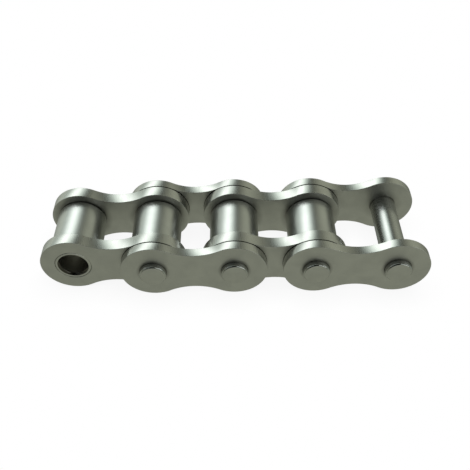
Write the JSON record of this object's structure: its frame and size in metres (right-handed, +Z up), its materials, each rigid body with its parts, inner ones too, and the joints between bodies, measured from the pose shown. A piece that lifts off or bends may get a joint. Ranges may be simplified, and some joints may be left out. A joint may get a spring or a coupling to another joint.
{
  "type": "roller chain",
  "caption": "Short straight length of single-strand stainless roller chain with free-turning rollers, an open bush at one end and a bare pin at the other.",
  "frame": {"origin": "on the surface that the chain lies on, under the middle pin, half-way between the front and rear pin ends", "axes": "+X along the chain from the open bush to the bare pin, +Y along the pins towards the rear plates, +Z up, across the height of the plates"},
  "size_m": [0.122, 0.0358, 0.0204],
  "materials": {
    "inner_plate": "tumbled stainless, matte olive-grey on the rolled faces and brighter on the sheared edges",
    "outer_plate": "tumbled stainless, matte olive-grey on the rolled faces and brighter on the sheared edges",
    "bush": "fine-turned stainless with a dark, oiled bore",
    "roller": "satin-polished stainless, ground round",
    "pin": "ground stainless with plain matte ends"
  },
  "bodies": {
    "inner_link_1": {"inner_plate_1_front": "inner_plate", "inner_plate_1_rear": "inner_plate", "bush_1": "bush", "bush_2": "bush"},
    "outer_link_1": {"outer_plate_1_front": "outer_plate", "outer_plate_1_rear": "outer_plate", "pin_1": "pin", "pin_2": "pin"},
    "inner_link_2": {"inner_plate_2_front": "inner_plate", "inner_plate_2_rear": "inner_plate", "bush_3": "bush", "bush_4": "bush"},
    "outer_link_2": {"outer_plate_2_front": "outer_plate", "outer_plate_2_rear": "outer_plate", "pin_3": "pin", "pin_4": "pin"},
    "roller_1": {"roller_1": "roller"},
    "roller_2": {"roller_2": "roller"},
    "roller_3": {"roller_3": "roller"},
    "roller_4": {"roller_4": "roller"}
  },
  "joints": [
    {"name": "link_hinge_1", "type": "hinge", "parent": "inner_link_1", "child": "outer_link_1", "pos_m": [-0.0254, 0, 0.0102], "axis": [0, -1, 0], "range_deg": [-75, 75]},
    {"name": "link_hinge_2", "type": "hinge", "parent": "outer_link_1", "child": "inner_link_2", "pos_m": [0, 0, 0.0102], "axis": [0, -1, 0], "range_deg": [-75, 75]},
    {"name": "link_hinge_3", "type": "hinge", "parent": "inner_link_2", "child": "outer_link_2", "pos_m": [0.0254, 0, 0.0102], "axis": [0, -1, 0], "range_deg": [-75, 75]},
    {"name": "roller_1_spin", "type": "hinge", "parent": "inner_link_1", "child": "roller_1", "pos_m": [-0.0508, 0, 0.0102], "axis": [0, -1, 0], "continuous": true},
    {"name": "roller_2_spin", "type": "hinge", "parent": "inner_link_1", "child": "roller_2", "pos_m": [-0.0254, 0, 0.0102], "axis": [0, -1, 0], "continuous": true},
    {"name": "roller_3_spin", "type": "hinge", "parent": "inner_link_2", "child": "roller_3", "pos_m": [0, 0, 0.0102], "axis": [0, -1, 0], "continuous": true},
    {"name": "roller_4_spin", "type": "hinge", "parent": "inner_link_2", "child": "roller_4", "pos_m": [0.0254, 0, 0.0102], "axis": [0, -1, 0], "continuous": true}
  ]
}
